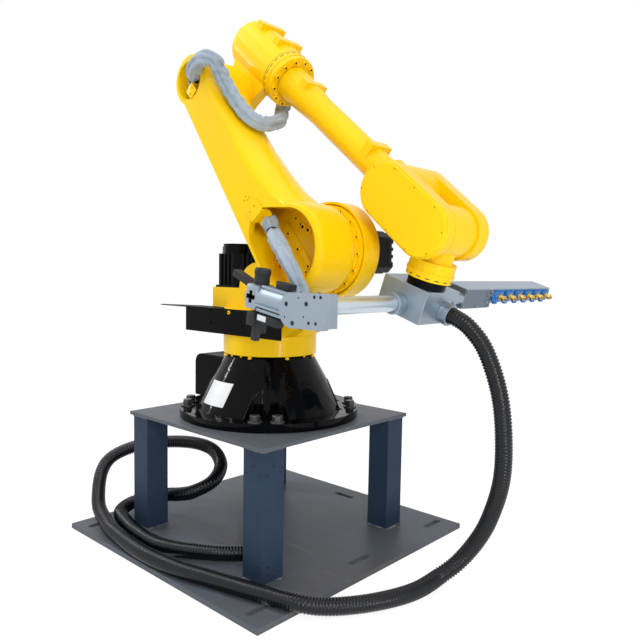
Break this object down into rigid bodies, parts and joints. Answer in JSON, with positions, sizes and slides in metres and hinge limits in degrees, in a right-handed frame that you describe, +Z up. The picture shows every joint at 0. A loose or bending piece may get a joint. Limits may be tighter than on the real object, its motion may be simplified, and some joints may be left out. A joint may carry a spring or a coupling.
{
  "type": "industrial robot arm",
  "caption": "Six-axis yellow robot arm on a square steel pedestal, with a black cone base, open-drum lower arm, forked wrist and an aluminium clamp and manifold tool",
  "frame": {"origin": "on the floor, under the turning axis at the centre of the floor plate", "axes": "X forward along the arm, Y to its left, Z up"},
  "size_m": [1.9003, 1.6328, 2.3133],
  "materials": {
    "yellow_paint": "gloss yellow paint on castings",
    "black_gloss": "gloss black paint",
    "black_plastic": "satin black",
    "steel_paint": "dark blue-grey paint on welded steel",
    "aluminium": "machined aluminium",
    "blue": "blue anodised aluminium",
    "brass": "turned brass",
    "bare_label": "bare white plate",
    "hose_rubber": "ribbed black hose",
    "sleeve_cloth": "grey-blue woven sleeve"
  },
  "bodies": {
    "pedestal": {"floor_plate": "steel_paint", "leg_front_near": "steel_paint", "leg_front_far": "steel_paint", "leg_rear_near": "steel_paint", "leg_rear_far": "steel_paint", "top_plate": "steel_paint", "robot_base": "black_gloss", "connector_box": "black_plastic", "base_label": "bare_label", "tool_hose": "hose_rubber", "hose_coupling": "aluminium"},
    "turret": {"turret_ring": "yellow_paint", "turret_body": "yellow_paint", "base_motor": "black_gloss", "base_motor_cap": "black_gloss", "shoulder_motor": "black_gloss", "shoulder_motor_cap": "black_gloss", "side_bracket": "black_plastic"},
    "lower_arm": {"lower_arm": "yellow_paint", "sleeve_bracket": "yellow_paint", "upper_sleeve": "sleeve_cloth", "lower_sleeve": "sleeve_cloth"},
    "elbow": {"elbow_housing": "yellow_paint", "elbow_flange": "yellow_paint"},
    "forearm": {"forearm_tube": "yellow_paint", "wrist_fork": "yellow_paint", "wrist_cover_near": "yellow_paint", "wrist_cover_far": "yellow_paint"},
    "wrist": {"wrist_body": "yellow_paint"},
    "tool": {"tool_flange": "black_gloss", "tool_block": "aluminium", "tool_tube": "aluminium", "tube_collar": "aluminium", "clamp_plate": "aluminium", "clamp_body": "aluminium", "clamp_cylinder": "aluminium", "clamp_jaws": "black_plastic", "clamp_fittings": "black_plastic", "tool_boss": "aluminium", "manifold_plate": "aluminium", "manifold": "blue", "manifold_fittings": "brass", "manifold_cover": "aluminium", "hose_spigot": "aluminium"}
  },
  "joints": [
    {"name": "j1_turn", "type": "hinge", "parent": "pedestal", "child": "turret", "pos_m": [0, 0, 0.83], "axis": [0, 0, 1], "range_deg": [-180, 180], "deforming": ["tool_hose"]},
    {"name": "j2_shoulder", "type": "hinge", "parent": "turret", "child": "lower_arm", "pos_m": [0.45, 0, 1.282], "axis": [0, 1, 0], "range_deg": [-20, 60], "deforming": ["tool_hose", "lower_sleeve"]},
    {"name": "j3_elbow", "type": "hinge", "parent": "lower_arm", "child": "elbow", "pos_m": [-0.12954, 0, 1.99006], "axis": [0, -1, 0], "range_deg": [0, 95], "deforming": ["tool_hose", "upper_sleeve"]},
    {"name": "j4_roll", "type": "hinge", "parent": "elbow", "child": "forearm", "pos_m": [-0.0153, 0, 2.12526], "axis": [0.7638, 0, -0.6455], "range_deg": [-50, 10], "deforming": ["tool_hose"]},
    {"name": "j5_bend", "type": "hinge", "parent": "forearm", "child": "wrist", "pos_m": [0.90126, 0, 1.35071], "axis": [0, 1, 0], "range_deg": [-110, 15], "deforming": ["tool_hose"]},
    {"name": "j6_tool", "type": "hinge", "parent": "wrist", "child": "tool", "pos_m": [0.90126, 0, 1.35071], "axis": [0.3256, 0, 0.9455], "range_deg": [-10, 50], "deforming": ["tool_hose"]}
  ]
}
